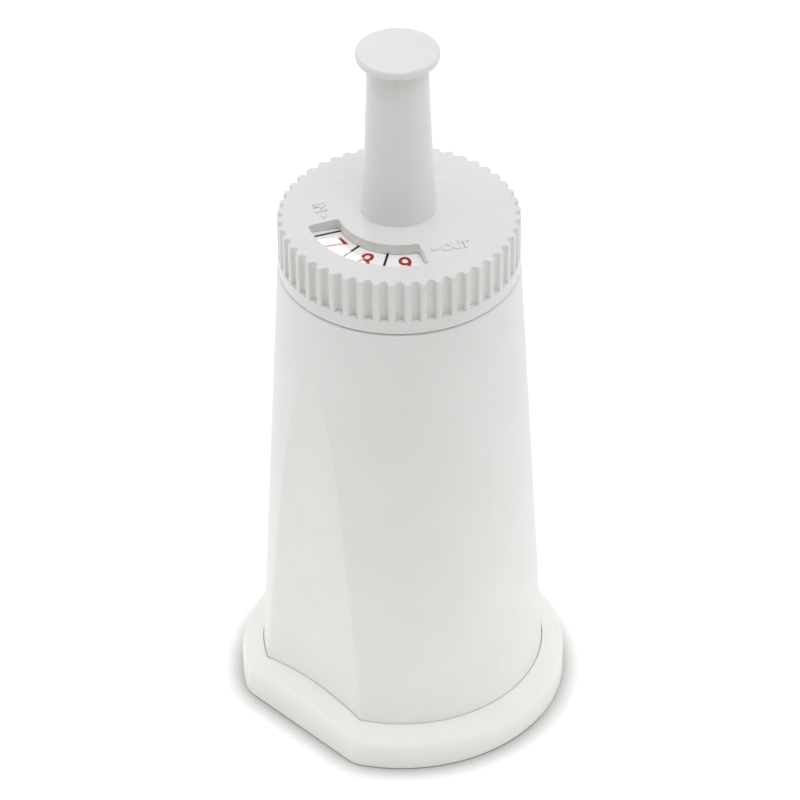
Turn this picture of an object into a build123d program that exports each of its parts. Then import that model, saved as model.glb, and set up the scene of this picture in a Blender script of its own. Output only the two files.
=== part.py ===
from build123d import *
import math
import os

# Coffee machine water filter: a tapered cartridge with a soft foot, topped by a month dial with a grip stem.
# Millimetres. Z is the cartridge's axis, Z = 0 is the surface it stands on, and the flat side faces -Y.

# Overall levels
total_height = 128.0
shoulder_level = 86.2

# Housing: a cone with one flat facet
foot_radius = 24.53
shoulder_radius = 20.05
facet_distance = 21.28
facet_draft = 0.46
wall = 1.6
shoulder_round = 0.8
facet_round = 1.6

# Housing neck under the dial
neck_radius = 16.9
neck_wall = 1.6
deck_thickness = 1.6
bead_height = 0.55
bead_width = 0.4
bead_slope = 0.5
snap_clearance = 0.3
inlet_count = 12
inlet_width = 2.4
inlet_height = 2.4
inlet_drop = 0.8

# Dial
dial_gap = 0.4
dial_radius = 19.9
dial_side_height = 9.6
dial_crown = 1.3
rim_round = 0.5
flute_count = 48
flute_angle = 1.3
flute_depth = 0.95
flute_radius = 0.72
flute_edge = 0.4
band_height = 2.2
lip_height = 1.2
lip_clearance = 0.25

# Window in the dial, as angles about the axis from +X
window_inner_radius = 10.1
window_outer_radius = 15.3
window_start = -119.0
window_end = -25.5
window_corner = 0.5

# Grip stem: an oval that flares towards its foot, and a round disc on top
stem_angle = 51.9
stem_top_width = 9.94
stem_foot_width = 11.66
stem_top_depth = 8.0
stem_foot_depth = 10.3
stem_flare = 0.47
stem_sections = 6
stem_wall = 1.5
disc_radius = 6.81
disc_thickness = 1.4
disc_round = 0.4

# Month ring, lying on the housing's deck
ring_depth = 0.95
ring_thickness = 0.5
ring_cover = 0.9
ring_margin = 0.7
ring_clearance = 0.15

# Bottom plate with the outlet port
plate_thickness = 2.0
spigot_height = 3.0
spigot_wall = 1.4
spigot_clearance = 0.1
port_radius = 5.0
port_wall = 1.8
port_collar = 0.8
port_height = 6.8
strainer_thickness = 1.4
strainer_hole_radius = 0.8
strainer_hole_circle = 3.0
strainer_hole_count = 6
rib_count = 6
rib_thickness = 1.4

# Filter bed between two fleece pads
fleece_thickness = 1.5
bed_clearance = 0.15
top_clearance = 0.1

# Soft foot with a round flange that has one flat side
seal_lip = 1.2
seal_lip_width = 2.28
seal_clearance = 0.1
flange_reach = 3.37
flange_flat_reach = 3.28
flange_corner = 4.5
flange_side_height = 5.1
flange_slope = 28.0
flange_round = 0.9
foot_round = 0.5

# Radii that follow from the sizes above
bead_radius = neck_radius + bead_height
skirt_inner_radius = bead_radius + snap_clearance
lip_radius = neck_radius + lip_clearance
flange_radius = foot_radius + flange_reach
flange_flat_distance = facet_distance + flange_flat_reach
seal_opening_radius = facet_distance - seal_lip_width

# Levels that follow from the sizes above
plate_level = seal_lip
housing_level = plate_level + plate_thickness
port_mouth_level = plate_level - port_collar
rib_level = housing_level + port_height
bed_level = rib_level + fleece_thickness
ceiling_level = shoulder_level - wall
bed_top_level = ceiling_level - top_clearance - fleece_thickness
skirt_level = shoulder_level + dial_gap
rim_level = skirt_level + dial_side_height
flute_level = skirt_level + band_height
ring_level = rim_level - ring_depth
deck_level = ring_level - ring_thickness
dial_underside_level = ring_level + ring_clearance
disc_level = total_height - disc_thickness


def cone_radius(level):
    """Outer radius of the housing's cone at a level."""
    return foot_radius + (shoulder_radius - foot_radius) * level / shoulder_level


def turned(*points):
    """A solid turned about the axis from a closed outline of (radius, level) points."""
    return revolve(Plane.XZ * make_face(Polyline(*points, close=True)), Axis.Z)


def plug(radius, low, high):
    """A plain cylinder between two levels."""
    return Pos(0, 0, (low + high) / 2) * Cylinder(radius, high - low)


def facet_cutter(inset):
    """Block that lies outside the facet's plane, the plane drawn in by an inset."""
    reach = 2 * flange_radius
    block = Pos(0, -reach / 2, 0) * Box(2 * reach, reach, 3 * total_height)
    return Pos(0, inset - facet_distance, 0) * Rot(-facet_draft, 0, 0) * block


def housing_form(inset, low, high):
    """The housing's outer form between two levels, drawn in by an inset: a cone with one flat facet."""
    cone = Cone(cone_radius(low) - inset, cone_radius(high) - inset, high - low)
    return Pos(0, 0, (low + high) / 2) * cone - facet_cutter(inset)


def neck():
    """Neck that carries the dial: a ring with a snap bead, closed by a deck, with inlet slots below it."""
    bead_level = skirt_level + lip_height + snap_clearance
    shape = turned(
        (0, ceiling_level),
        (neck_radius, ceiling_level),
        (neck_radius, bead_level),
        (bead_radius, bead_level + bead_slope),
        (bead_radius, bead_level + bead_slope + bead_width),
        (neck_radius, bead_level + 2 * bead_slope + bead_width),
        (neck_radius, deck_level),
        (0, deck_level),
    )
    bore_top = deck_level - deck_thickness
    shape -= plug(neck_radius - neck_wall, ceiling_level, bore_top)
    slot = Box(4 * neck_wall, inlet_width, inlet_height)
    slot_level = bore_top - inlet_drop - inlet_height / 2
    places = PolarLocations(neck_radius - neck_wall / 2, inlet_count)
    return shape - [Pos(0, 0, slot_level) * place * slot for place in places]


def housing():
    """Tapered body with its shoulder and neck, open at the bottom."""
    shell = housing_form(0, housing_level, shoulder_level)
    rim = shell.edges().filter_by(GeomType.CIRCLE).sort_by(Axis.Z)[-1]
    shell = fillet(rim, shoulder_round)
    facet = shell.faces().filter_by(GeomType.PLANE).sort_by(Axis.Y)[0]
    shell = fillet(facet.edges().filter_by(GeomType.LINE, reverse=True), facet_round)
    shell -= housing_form(wall, housing_level, ceiling_level)
    shell -= plug(neck_radius - neck_wall, ceiling_level, shoulder_level)
    return shell + neck()


def fluted_outline():
    """Plan of the skirt: a circle with a round groove at each flute and softened corners."""
    places = PolarLocations(dial_radius - flute_depth + flute_radius, flute_count, start_angle=flute_angle)
    outline = Circle(dial_radius) - [place * Circle(flute_radius) for place in places]
    return fillet(outline.vertices(), flute_edge)


def crown_envelope():
    """Everything under the dial's crowned top and its rounded rim."""
    rim_start = dial_radius - rim_round
    crown_top = rim_level + dial_crown
    crown = RadiusArc((0, crown_top), (rim_start, rim_level), crown_radius(rim_start))
    edge_end = (dial_radius + rim_round / 4, rim_level - rim_round)
    edge = RadiusArc((rim_start, rim_level), edge_end, rim_round)
    outside = 2 * dial_radius
    sides = Polyline(edge_end, (outside, rim_level - rim_round), (outside, 0), (0, 0), (0, crown_top))
    return revolve(Plane.XZ * make_face(crown + edge + sides), Axis.Z)


def crown_radius(half_span):
    """Radius of the crown's arc over half its span."""
    return (half_span ** 2 + dial_crown ** 2) / (2 * dial_crown)


def skirt_hollow():
    """Space inside the dial: a lead-in, the snap lip, then the plain bore up to the underside."""
    lip_top = skirt_level + lip_height
    lip_reach = skirt_inner_radius - lip_radius
    return turned(
        (0, skirt_level),
        (lip_radius + lip_reach / 2, skirt_level),
        (lip_radius, skirt_level + lip_reach / 2),
        (lip_radius, lip_top),
        (skirt_inner_radius, lip_top + lip_reach),
        (skirt_inner_radius, dial_underside_level),
        (0, dial_underside_level),
    )


def window():
    """Cutter for the window: a ring sector with rounded corners."""
    span = window_end - window_start
    outer = CenterArc((0, 0), window_outer_radius, window_start, span)
    inner = CenterArc((0, 0), window_inner_radius, window_start, span)
    sector = make_face(outer + inner + Line(outer @ 0, inner @ 0) + Line(outer @ 1, inner @ 1))
    sector = fillet(sector.vertices(), window_corner)
    return Pos(0, 0, dial_underside_level) * extrude(sector, 2 * dial_side_height)


def stem_form(inset, low, high):
    """The oval stem between two levels, drawn in by an inset, flaring towards the dial."""
    sections = []
    for step in range(stem_sections):
        level = low + (high - low) * step / (stem_sections - 1)
        fall = (disc_level - level) / (disc_level - rim_level)
        flare = stem_flare * fall ** 3
        half_width = (stem_top_width + (stem_foot_width - stem_top_width) * fall) / 2 + flare - inset
        half_depth = (stem_top_depth + (stem_foot_depth - stem_top_depth) * fall) / 2 + flare - inset
        sections.append(Pos(0, 0, level) * Rot(0, 0, stem_angle) * Ellipse(half_width, half_depth))
    return loft(sections)


def top_disc():
    """Round disc on the stem, its edges softened."""
    disc = Pos(0, 0, disc_level + disc_thickness / 2) * Cylinder(disc_radius, disc_thickness)
    return fillet(disc.edges().filter_by(GeomType.CIRCLE), disc_round)


def date_dial():
    """Dial, stem and disc in one moulding."""
    fluted = Pos(0, 0, flute_level) * extrude(fluted_outline(), rim_level + dial_crown - flute_level)
    band = plug(dial_radius, skirt_level, flute_level)
    shape = (fluted + band) & crown_envelope()
    shape += stem_form(0, rim_level, disc_level)
    shape += top_disc()
    shape -= skirt_hollow()
    shape -= window()
    return shape - stem_form(stem_wall, dial_underside_level, disc_level - stem_wall)


def month_ring():
    """Flat ring with the months, seen through the window."""
    ring = plug(neck_radius - ring_margin, deck_level, ring_level)
    return ring - plug(window_inner_radius - ring_cover, deck_level, ring_level)


def strainer_holes():
    """Small holes through the closed end of the port."""
    hole = Cylinder(strainer_hole_radius, 4 * strainer_thickness)
    places = PolarLocations(strainer_hole_circle, strainer_hole_count)
    return [Pos(0, 0, rib_level) * hole] + [Pos(0, 0, rib_level) * place * hole for place in places]


def plate_ribs():
    """Upright ribs that carry the outlet fleece clear of the plate."""
    inset = wall + spigot_clearance
    length = foot_radius
    middle = housing_level + port_height / 2
    rib = Pos(port_radius + length / 2, 0, middle) * Box(length, rib_thickness, port_height)
    ribs = Part() + [Rot(0, 0, 360 / rib_count * step) * rib for step in range(rib_count)]
    return ribs & housing_form(inset, housing_level, rib_level)


def base_plate():
    """Bottom plate: a flange under the housing, a spigot inside it, ribs, and the port with its strainer."""
    inset = wall + spigot_clearance
    spigot_top = housing_level + spigot_height
    shape = housing_form(0, plate_level, housing_level)
    shape += housing_form(inset, housing_level, spigot_top)
    shape -= housing_form(inset + spigot_wall, housing_level, spigot_top)
    shape += plate_ribs()
    shape += plug(port_radius + port_wall, port_mouth_level, rib_level)
    shape -= plug(port_radius, port_mouth_level, rib_level - strainer_thickness)
    return shape - strainer_holes()


def outlet_fleece():
    """Pad on the ribs, under the bed."""
    return housing_form(wall + bed_clearance, rib_level, bed_level)


def filter_media():
    """Bed of granules that fills the housing between the two pads."""
    return housing_form(wall + bed_clearance, bed_level, bed_top_level)


def inlet_fleece():
    """Pad on top of the bed."""
    return housing_form(wall + bed_clearance, bed_top_level, bed_top_level + fleece_thickness)


def flange_outline():
    """Plan of the flange: a circle cut by one flat, with rounded corners."""
    disc = Circle(flange_radius)
    kept = Pos(0, flange_radius - flange_flat_distance) * Rectangle(2 * flange_radius, 2 * flange_radius)
    outline = disc & kept
    return fillet(outline.vertices(), flange_corner)


def base_seal():
    """Soft foot: an upright side, a conical top that climbs to the housing, and a lip under the plate."""
    rise = math.tan(math.radians(flange_slope))
    outside = flange_radius + flange_round
    hem_level = flange_side_height - rise * flange_round
    top = flange_side_height + rise * (flange_radius - seal_opening_radius)
    roof = turned((0, 0), (outside, 0), (outside, hem_level), (seal_opening_radius, top), (0, top))
    shape = extrude(flange_outline(), 2 * top) & roof
    slope = shape.faces().filter_by(GeomType.CONE)[0]
    hem = slope.edges().filter_by(GeomType.LINE, reverse=True).sort_by(Axis.Z)[:-1]
    shape = fillet(hem, flange_round)
    shape = fillet(shape.faces().sort_by(Axis.Z)[0].edges(), foot_round)
    shape -= housing_form(-seal_clearance, plate_level, 2 * top)
    return shape - plug(seal_opening_radius, 0, plate_level)


pieces = {
    "housing": housing,
    "date_dial": date_dial,
    "month_ring": month_ring,
    "base_plate": base_plate,
    "outlet_fleece": outlet_fleece,
    "filter_media": filter_media,
    "inlet_fleece": inlet_fleece,
    "base_seal": base_seal,
}

os.makedirs("parts", exist_ok=True)
for name, make in pieces.items():
    export_step(make(), f"parts/{name}.step")
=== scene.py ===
import math

import bpy
from mathutils import Matrix, Vector


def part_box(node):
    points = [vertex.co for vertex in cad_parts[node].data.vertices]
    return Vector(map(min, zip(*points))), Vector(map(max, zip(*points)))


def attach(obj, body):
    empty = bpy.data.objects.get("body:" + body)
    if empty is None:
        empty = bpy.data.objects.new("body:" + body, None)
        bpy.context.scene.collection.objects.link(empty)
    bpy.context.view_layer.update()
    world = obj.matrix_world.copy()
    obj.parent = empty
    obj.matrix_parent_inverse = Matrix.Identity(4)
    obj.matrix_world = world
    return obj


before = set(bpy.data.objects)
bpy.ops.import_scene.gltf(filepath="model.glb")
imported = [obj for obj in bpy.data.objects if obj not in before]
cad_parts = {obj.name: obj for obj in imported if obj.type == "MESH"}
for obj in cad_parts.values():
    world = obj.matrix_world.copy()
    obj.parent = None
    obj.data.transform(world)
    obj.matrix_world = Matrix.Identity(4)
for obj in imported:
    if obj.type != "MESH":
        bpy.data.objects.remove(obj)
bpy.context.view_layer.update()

MM = 0.001

# View of the photograph: the camera's bearing about the axis, its height angle, distance, aim and roll
view_azimuth = math.radians(46.3)
view_elevation = math.radians(37.13)
view_distance = 800 * MM
view_centre_level = 64 * MM
aim_aside = -0.11 * MM
aim_level = 58.0 * MM
view_roll = math.radians(0.515)
lens_mm = 215.6
sensor_mm = 36
near_limit = 0.01

# Surroundings: how bright the walls and the opening in front are, and where the opening lies
wall_light = (0.87, 0.87, 0.87)
opening_light = (0.02, 0.02, 0.018)
opening_aside = -0.25
opening_edge = 0.5
opening_heart = 0.78

# Lamps: powers in watts, places as right, toward and up from the axis's foot, levels aimed at, and sizes
top_power = 2.35
top_place = (0.11, 0.45, 1.0)
top_aim = 0.08
top_size = (0.7, 0.7)
left_power = 1.1
left_place = (-0.9, 0.15, 0.3)
left_aim = 0.06
left_size = (0.6, 0.8)

# Lamp behind the object, which the month ring mirrors: its power and size, the spot, and how far it stands from it
back_power = 0.005
back_size = (0.02, 0.012)
glare_angle = math.radians(-98)
glare_radius = 14 * MM
glare_distance = 0.28

# Floor: its tone, the glow that lifts it to white, the reach of the contact shade painted near the object, and a
# pool of glow painted on the floor near the object that lights it from below
floor_size = 3.0
floor_tone = 0.90
bounce_tone = (0.90, 0.895, 0.87)
painted_glow_tone = (1.0, 0.99, 0.96)
floor_glow = 0.28
painted_shade_reach = 4.2 * MM
pool_light = 0.67
pool_start = 0.03
pool_crest = 0.05
pool_end = 0.14

# Materials: darker tone, lighter tone, roughness and strength of the grain
housing_finish = ((0.80, 0.805, 0.795), (0.83, 0.835, 0.825), 0.40, 0.10)
dial_finish = ((0.762, 0.777, 0.762), (0.788, 0.803, 0.788), 0.28, 0.03)
ring_finish = ((0.93, 0.93, 0.92), (0.96, 0.96, 0.95), 0.3, 0.02)
seal_finish = ((0.90, 0.895, 0.86), (0.93, 0.925, 0.89), 0.5, 0.15)
fleece_finish = ((0.80, 0.80, 0.77), (0.88, 0.88, 0.85), 0.9, 1.0)
granule_finish = ((0.10, 0.09, 0.07), (0.35, 0.30, 0.22), 0.8, 1.0)
number_tone = (0.44, 0.006, 0.009)
line_tone = (0.02, 0.018, 0.016)
ink_shade = 0.85
ink_roughness = 0.3
ink_grain = 0.02

# What the materials share: spread of the clouds' tones, of the sheen, size of the grain, bleed and lacquer
cloud_low = 0.3
cloud_high = 0.7
sheen_spread = 0.04
grain_scale = 2600
grain_height = 0.02 * MM
bleed_radius = (1.0, 0.9, 0.75)
bleed_scale = 1.2 * MM
lacquer_roughness = 0.05

# Dial: its crowned top and its window
crown_top_level = 97.5 * MM
crown_rise = 1.3 * MM
crown_span = 19.4 * MM
window_start = math.radians(-119.0)
window_end = math.radians(-25.5)

# Months printed on the ring
month_count = 12
first_month_angle = math.radians(80.6)
digit_radius = 12.75 * MM
digit_height = 4.0 * MM
digit_squeeze = 0.85
digit_bold = 0.05 * MM
line_inner_radius = 9.6 * MM
line_outer_radius = 15.9 * MM
line_width = 0.42 * MM
print_thickness = 0.03 * MM

# Raised letters on the dial: each sign, its offset from the window's end and the length of its longer side
letter_radius = 12.25 * MM
letter_relief = 0.2 * MM
letter_bevel = 0.08 * MM
letter_bold = 0.04 * MM
inlet_signs = [
    ("I", -5.24 * MM, 2.0 * MM),
    ("N", -3.84 * MM, 2.0 * MM),
    (">", -1.45 * MM, 0.95 * MM),
]
outlet_signs = [
    ("-", 2.05 * MM, 1.1 * MM),
    ("O", 4.0 * MM, 2.0 * MM),
    ("U", 5.75 * MM, 2.0 * MM),
    ("T", 7.15 * MM, 2.0 * MM),
]

# Height of a capital as a share of the font's size
capital_share = 0.7


def crown_level(radius):
    """Level of the dial's crowned top at a radius."""
    return crown_top_level - crown_rise * (radius / crown_span) ** 2


def crown_tilt(radius):
    """Fall of the dial's crowned top at a radius, as an angle."""
    return math.atan(2 * crown_rise * radius / crown_span ** 2)


def seen_from_camera(right, toward, up):
    """A point given as right of, toward and above the axis's foot as the camera sees it."""
    across = Vector((math.cos(view_azimuth), math.sin(view_azimuth), 0))
    front = Vector((math.sin(view_azimuth), -math.cos(view_azimuth), 0))
    return across * right + front * toward + Vector((0, 0, up))


# Camera

def camera_eye():
    """The camera's place."""
    back = seen_from_camera(0, math.cos(view_elevation), math.sin(view_elevation))
    return Vector((0, 0, view_centre_level)) + back * view_distance


def make_camera():
    """Camera at the photograph's place, aimed at the cartridge's axis and rolled a little."""
    eye = camera_eye()
    depth = (eye - seen_from_camera(aim_aside, 0, aim_level)).normalized()
    right = Vector((0, 0, 1)).cross(depth).normalized()
    up = depth.cross(right)
    turn = Matrix((right, up, depth)).transposed().to_4x4()
    data = bpy.data.cameras.new("photo_camera")
    data.sensor_width = sensor_mm
    data.lens = lens_mm
    data.clip_start = near_limit
    camera = bpy.data.objects.new("photo_camera", data)
    camera.matrix_world = Matrix.Translation(eye) @ turn @ Matrix.Rotation(-view_roll, 4, "Z")
    bpy.context.scene.collection.objects.link(camera)
    bpy.context.scene.camera = camera


# Light

def mirror_spot():
    """The spot of the month ring that mirrors the back lamp."""
    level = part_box("month_ring")[1].z
    return Vector((glare_radius * math.cos(glare_angle), glare_radius * math.sin(glare_angle), level))


def mirror_place():
    """Where the back lamp stands so that the camera sees it mirrored in that spot."""
    spot = mirror_spot()
    ray = spot - camera_eye()
    ray.z = -ray.z
    return spot + ray.normalized() * glare_distance


def make_softbox(name, place, aim, size, power):
    """A soft rectangular lamp that looks at a point."""
    data = bpy.data.lights.new(name, "AREA")
    data.shape = "RECTANGLE"
    data.size, data.size_y = size
    data.energy = power
    lamp = bpy.data.objects.new(name, data)
    lamp.matrix_world = Matrix.Translation(place) @ (place - aim).to_track_quat("Z", "Y").to_matrix().to_4x4()
    bpy.context.scene.collection.objects.link(lamp)


def seen_directly(nodes, links):
    """One where the camera looks at a surface itself, or at its reflection or through something clear."""
    path = nodes.new("ShaderNodeLightPath")
    mirrored = nodes.new("ShaderNodeMath")
    links.new(path.outputs["Is Camera Ray"], mirrored.inputs[0])
    links.new(path.outputs["Is Glossy Ray"], mirrored.inputs[1])
    direct = nodes.new("ShaderNodeMath")
    direct.use_clamp = True
    links.new(mirrored.outputs["Value"], direct.inputs[0])
    links.new(path.outputs["Is Transmission Ray"], direct.inputs[1])
    return direct.outputs["Value"]


def make_world():
    """Pale surroundings with a darker opening on the camera's side, white where they are seen directly."""
    world = bpy.data.worlds.new("studio")
    bpy.context.scene.world = world
    world.use_nodes = True
    nodes, links = world.node_tree.nodes, world.node_tree.links
    nodes.clear()
    bearing = nodes.new("ShaderNodeTexCoord")
    front = nodes.new("ShaderNodeVectorMath")
    front.operation = "DOT_PRODUCT"
    front.inputs[1].default_value = seen_from_camera(opening_aside, 1, 0).normalized()
    opening = nodes.new("ShaderNodeMapRange")
    opening.interpolation_type = "SMOOTHSTEP"
    opening.inputs["From Min"].default_value = opening_edge
    opening.inputs["From Max"].default_value = opening_heart
    tones = nodes.new("ShaderNodeMix")
    tones.data_type = "RGBA"
    tones.inputs["A"].default_value = (*wall_light, 1)
    tones.inputs["B"].default_value = (*opening_light, 1)
    around = nodes.new("ShaderNodeBackground")
    white = nodes.new("ShaderNodeBackground")
    white.inputs["Color"].default_value = (1.0, 1.0, 1.0, 1)
    white.inputs["Strength"].default_value = 1.0
    mix = nodes.new("ShaderNodeMixShader")
    out = nodes.new("ShaderNodeOutputWorld")
    links.new(bearing.outputs["Generated"], front.inputs[0])
    links.new(front.outputs["Value"], opening.inputs["Value"])
    links.new(opening.outputs["Result"], tones.inputs["Factor"])
    links.new(tones.outputs["Result"], around.inputs["Color"])
    links.new(seen_directly(nodes, links), mix.inputs[0])
    links.new(around.outputs[0], mix.inputs[1])
    links.new(white.outputs[0], mix.inputs[2])
    links.new(mix.outputs[0], out.inputs["Surface"])


def make_floor():
    """Pale plain floor that shows white and keeps the object's shadow, with a contact shade painted by ambient
    occlusion near the object and a painted glow around it that lights the object from below.
    """
    mesh = bpy.data.meshes.new("floor")
    half = floor_size / 2
    corners = [(-half, -half, 0), (half, -half, 0), (half, half, 0), (-half, half, 0)]
    mesh.from_pydata(corners, [], [(0, 1, 2, 3)])
    floor = bpy.data.objects.new("floor", mesh)
    bpy.context.scene.collection.objects.link(floor)
    material = bpy.data.materials.new("floor_white")
    material.use_nodes = True
    nodes, links = material.node_tree.nodes, material.node_tree.links
    nodes.clear()
    # Painted contact shade: ambient occlusion darkens the floor's seen colour and its white glow within this reach
    # of the object
    contact = nodes.new("ShaderNodeAmbientOcclusion")
    contact.inputs["Color"].default_value = (floor_tone, floor_tone, floor_tone, 1)
    contact.inputs["Distance"].default_value = painted_shade_reach
    seen = nodes.new("ShaderNodeBsdfDiffuse")
    glow = nodes.new("ShaderNodeEmission")
    glow.inputs["Strength"].default_value = floor_glow
    lifted = nodes.new("ShaderNodeAddShader")
    bounce = nodes.new("ShaderNodeBsdfDiffuse")
    bounce.inputs["Color"].default_value = (*bounce_tone, 1)
    place = nodes.new("ShaderNodeNewGeometry")
    distance = nodes.new("ShaderNodeVectorMath")
    distance.operation = "LENGTH"
    # Painted glow: the floor emits light in a ring near the object for rays other than the camera's, lighting the
    # object's lower parts from below though no lamp is there
    pool = nodes.new("ShaderNodeValToRGB")
    pool.color_ramp.interpolation = "EASE"
    pool.color_ramp.elements[1].color = (0, 0, 0, 1)
    for spot, strength in ((pool_start, 0.0), (pool_crest, pool_light), (pool_end, 0.0)):
        stop = pool.color_ramp.elements.new(spot)
        stop.color = (strength, strength, strength, 1)
    painted_pool_glow = nodes.new("ShaderNodeEmission")
    painted_pool_glow.inputs["Color"].default_value = (*painted_glow_tone, 1)
    given = nodes.new("ShaderNodeAddShader")
    mix = nodes.new("ShaderNodeMixShader")
    out = nodes.new("ShaderNodeOutputMaterial")
    links.new(contact.outputs["Color"], seen.inputs["Color"])
    links.new(contact.outputs["Color"], glow.inputs["Color"])
    links.new(seen.outputs[0], lifted.inputs[0])
    links.new(glow.outputs[0], lifted.inputs[1])
    links.new(place.outputs["Position"], distance.inputs[0])
    links.new(distance.outputs["Value"], pool.inputs["Fac"])
    links.new(pool.outputs["Color"], painted_pool_glow.inputs["Strength"])
    links.new(bounce.outputs[0], given.inputs[0])
    links.new(painted_pool_glow.outputs[0], given.inputs[1])
    links.new(seen_directly(nodes, links), mix.inputs[0])
    links.new(given.outputs[0], mix.inputs[1])
    links.new(lifted.outputs[0], mix.inputs[2])
    links.new(mix.outputs[0], out.inputs["Surface"])
    mesh.materials.append(material)


# Materials

def moulded(name, tone_a, tone_b, roughness, grain, mottle_scale=90.0, subsurface=0.0, lacquer=0.0):
    """Moulded plastic: two close tones in soft clouds, a fine grain, and a roughness that varies a little."""
    material = bpy.data.materials.new(name)
    material.use_nodes = True
    nodes, links = material.node_tree.nodes, material.node_tree.links
    shader = nodes["Principled BSDF"]
    place = nodes.new("ShaderNodeTexCoord")
    clouds = nodes.new("ShaderNodeTexNoise")
    clouds.inputs["Scale"].default_value = mottle_scale
    clouds.inputs["Detail"].default_value = 4
    tones = nodes.new("ShaderNodeValToRGB")
    tones.color_ramp.elements[0].position = cloud_low
    tones.color_ramp.elements[0].color = (*tone_a, 1)
    tones.color_ramp.elements[1].position = cloud_high
    tones.color_ramp.elements[1].color = (*tone_b, 1)
    sheen = nodes.new("ShaderNodeMapRange")
    sheen.inputs["To Min"].default_value = roughness - sheen_spread
    sheen.inputs["To Max"].default_value = roughness + sheen_spread
    fine = nodes.new("ShaderNodeTexNoise")
    fine.inputs["Scale"].default_value = grain_scale
    fine.inputs["Detail"].default_value = 2
    bump = nodes.new("ShaderNodeBump")
    bump.inputs["Strength"].default_value = grain
    bump.inputs["Distance"].default_value = grain_height
    links.new(place.outputs["Object"], clouds.inputs["Vector"])
    links.new(place.outputs["Object"], fine.inputs["Vector"])
    links.new(clouds.outputs["Fac"], tones.inputs["Fac"])
    links.new(tones.outputs["Color"], shader.inputs["Base Color"])
    links.new(clouds.outputs["Fac"], sheen.inputs["Value"])
    links.new(sheen.outputs["Result"], shader.inputs["Roughness"])
    links.new(fine.outputs["Fac"], bump.inputs["Height"])
    links.new(bump.outputs["Normal"], shader.inputs["Normal"])
    if subsurface:
        shader.inputs["Subsurface Weight"].default_value = subsurface
        shader.inputs["Subsurface Radius"].default_value = bleed_radius
        shader.inputs["Subsurface Scale"].default_value = bleed_scale
    if lacquer:
        shader.inputs["Specular IOR Level"].default_value = 0.0
        shader.inputs["Coat Weight"].default_value = lacquer
        shader.inputs["Coat Roughness"].default_value = lacquer_roughness
    return material


def dress(node, material):
    """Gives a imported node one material."""
    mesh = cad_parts[node].data
    mesh.materials.clear()
    mesh.materials.append(material)


def dress_nodes():
    """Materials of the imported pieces."""
    white = moulded("housing_plastic", *housing_finish)
    dress("housing", white)
    dress("base_plate", white)
    dress("date_dial", moulded("dial_plastic", *dial_finish))
    dress("month_ring", moulded("ring_card", *ring_finish, lacquer=1.0))
    dress("base_seal", moulded("seal_rubber", *seal_finish, subsurface=0.15))
    fleece = moulded("fleece_felt", *fleece_finish, mottle_scale=400)
    dress("inlet_fleece", fleece)
    dress("outlet_fleece", fleece)
    dress("filter_media", moulded("granules", *granule_finish, mottle_scale=900))


# Print and letters

def glyph(name, text, reach, squeeze, thickness, bevel, bold, material, place, body):
    """One flat or raised sign, centred on its place and as long as its reach, that rides on a body."""
    curve = bpy.data.curves.new(name, "FONT")
    curve.body = text
    curve.size = reach / capital_share
    curve.extrude = thickness / 2 - bevel
    curve.bevel_depth = bevel
    curve.offset = bold
    drawn = bpy.data.objects.new(name + "_curve", curve)
    bpy.context.scene.collection.objects.link(drawn)
    bpy.context.view_layer.update()
    mesh = bpy.data.meshes.new_from_object(drawn.evaluated_get(bpy.context.evaluated_depsgraph_get()))
    bpy.data.objects.remove(drawn)
    low = [min(vertex.co[axis] for vertex in mesh.vertices) for axis in range(2)]
    high = [max(vertex.co[axis] for vertex in mesh.vertices) for axis in range(2)]
    centre = Vector(((low[0] + high[0]) / 2, (low[1] + high[1]) / 2, 0))
    scale = reach / max(high[0] - low[0], high[1] - low[1])
    fit = Matrix.Diagonal((scale * squeeze, scale, 1, 1))
    mesh.transform(place @ fit @ Matrix.Translation(-centre))
    mesh.materials.clear()
    mesh.materials.append(material)
    sign = bpy.data.objects.new(name, mesh)
    bpy.context.scene.collection.objects.link(sign)
    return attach(sign, body)


def facing_out(angle, radius, level):
    """Place on a face about the axis whose signs have their tops towards the axis."""
    spot = Matrix.Translation((radius * math.cos(angle), radius * math.sin(angle), level))
    return spot @ Matrix.Rotation(angle + math.pi / 2, 4, "Z")


def ink(name, colour):
    """Printing ink with a little unevenness."""
    darker = tuple(value * ink_shade for value in colour)
    return moulded(name, darker, colour, ink_roughness, ink_grain, mottle_scale=700, lacquer=1.0)


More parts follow.
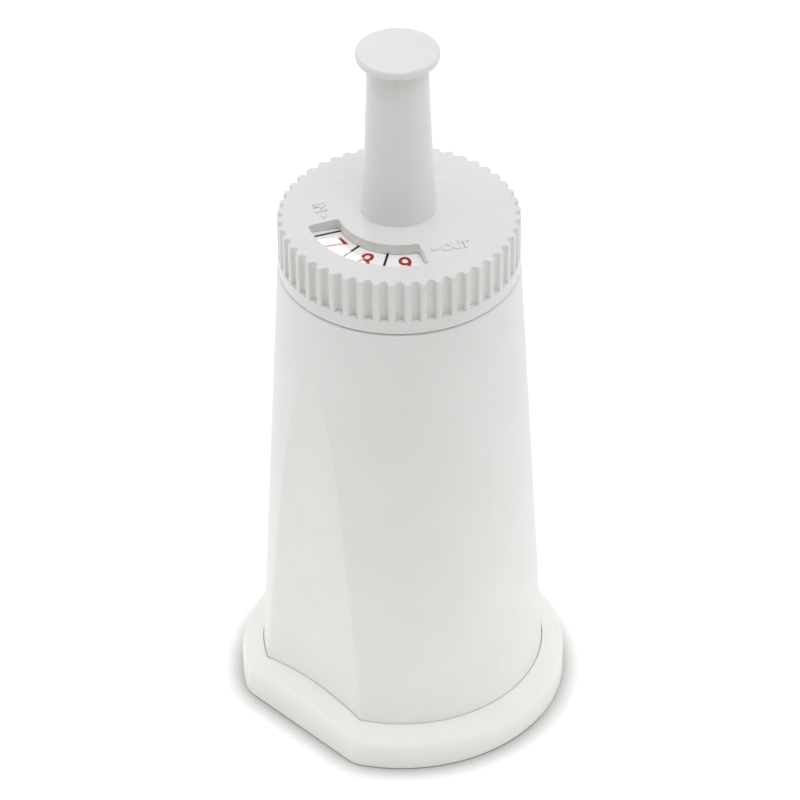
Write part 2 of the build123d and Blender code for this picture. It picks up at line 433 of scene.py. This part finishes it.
def month_line(name, angle, level, material):
    """A black line between two months."""
    half = line_width / 2
    top = level + print_thickness
    inner, outer = line_inner_radius, line_outer_radius
    corners = [(inner, -half), (outer, -half), (outer, half), (inner, half)]
    points = [(x, y, z) for z in (level, top) for x, y in corners]
    faces = [(3, 2, 1, 0), (4, 5, 6, 7), (0, 1, 5, 4), (1, 2, 6, 5), (2, 3, 7, 6), (3, 0, 4, 7)]
    mesh = bpy.data.meshes.new(name)
    mesh.from_pydata(points, [], faces)
    mesh.transform(Matrix.Rotation(angle, 4, "Z"))
    mesh.materials.append(material)
    line = bpy.data.objects.new(name, mesh)
    bpy.context.scene.collection.objects.link(line)
    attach(line, "cartridge")


def print_months():
    """Twelve red numbers and the black lines between them, on the month ring."""
    red = ink("number_red", number_tone)
    black = ink("line_black", line_tone)
    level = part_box("month_ring")[1].z
    step = 2 * math.pi / month_count
    for month in range(1, month_count + 1):
        angle = first_month_angle + (month - 1) * step
        place = facing_out(angle, digit_radius, level + print_thickness / 2)
        name = f"month_{month}"
        number = glyph(
            name, str(month), digit_height, digit_squeeze, print_thickness, 0, digit_bold, red, place, "cartridge")
        month_line(f"month_line_{month}", angle - step / 2, level, black)


def raise_letters(word, end_angle, signs):
    """Raised signs on the dial in a straight row square to an end of the window."""
    along = Vector((-math.sin(end_angle), math.cos(end_angle), 0))
    out = Vector((math.cos(end_angle), math.sin(end_angle), 0))
    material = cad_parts["date_dial"].data.materials[0]
    for index, (letter, offset, reach) in enumerate(signs):
        spot = out * letter_radius + along * offset
        radius = spot.length
        angle = math.atan2(spot.y, spot.x)
        place = Matrix.Translation((spot.x, spot.y, crown_level(radius)))
        fall = Matrix.Rotation(crown_tilt(radius), 4, Vector((-math.sin(angle), math.cos(angle), 0)))
        place = place @ fall @ Matrix.Rotation(end_angle + math.pi / 2, 4, "Z")
        name = f"{word}_sign_{index + 1}"
        thickness = 2 * letter_relief
        sign = glyph(name, letter, reach, 1, thickness, letter_bevel, letter_bold, material, place, "dial")


make_camera()
make_world()
make_floor()
make_softbox("top_box", seen_from_camera(*top_place), Vector((0, 0, top_aim)), top_size, top_power)
make_softbox("left_box", seen_from_camera(*left_place), Vector((0, 0, left_aim)), left_size, left_power)
make_softbox("back_box", mirror_place(), mirror_spot(), back_size, back_power)
dress_nodes()
print_months()
raise_letters("inlet", window_start, inlet_signs)
raise_letters("outlet", window_end, outlet_signs)

bpy.context.scene.view_settings.view_transform = "Standard"
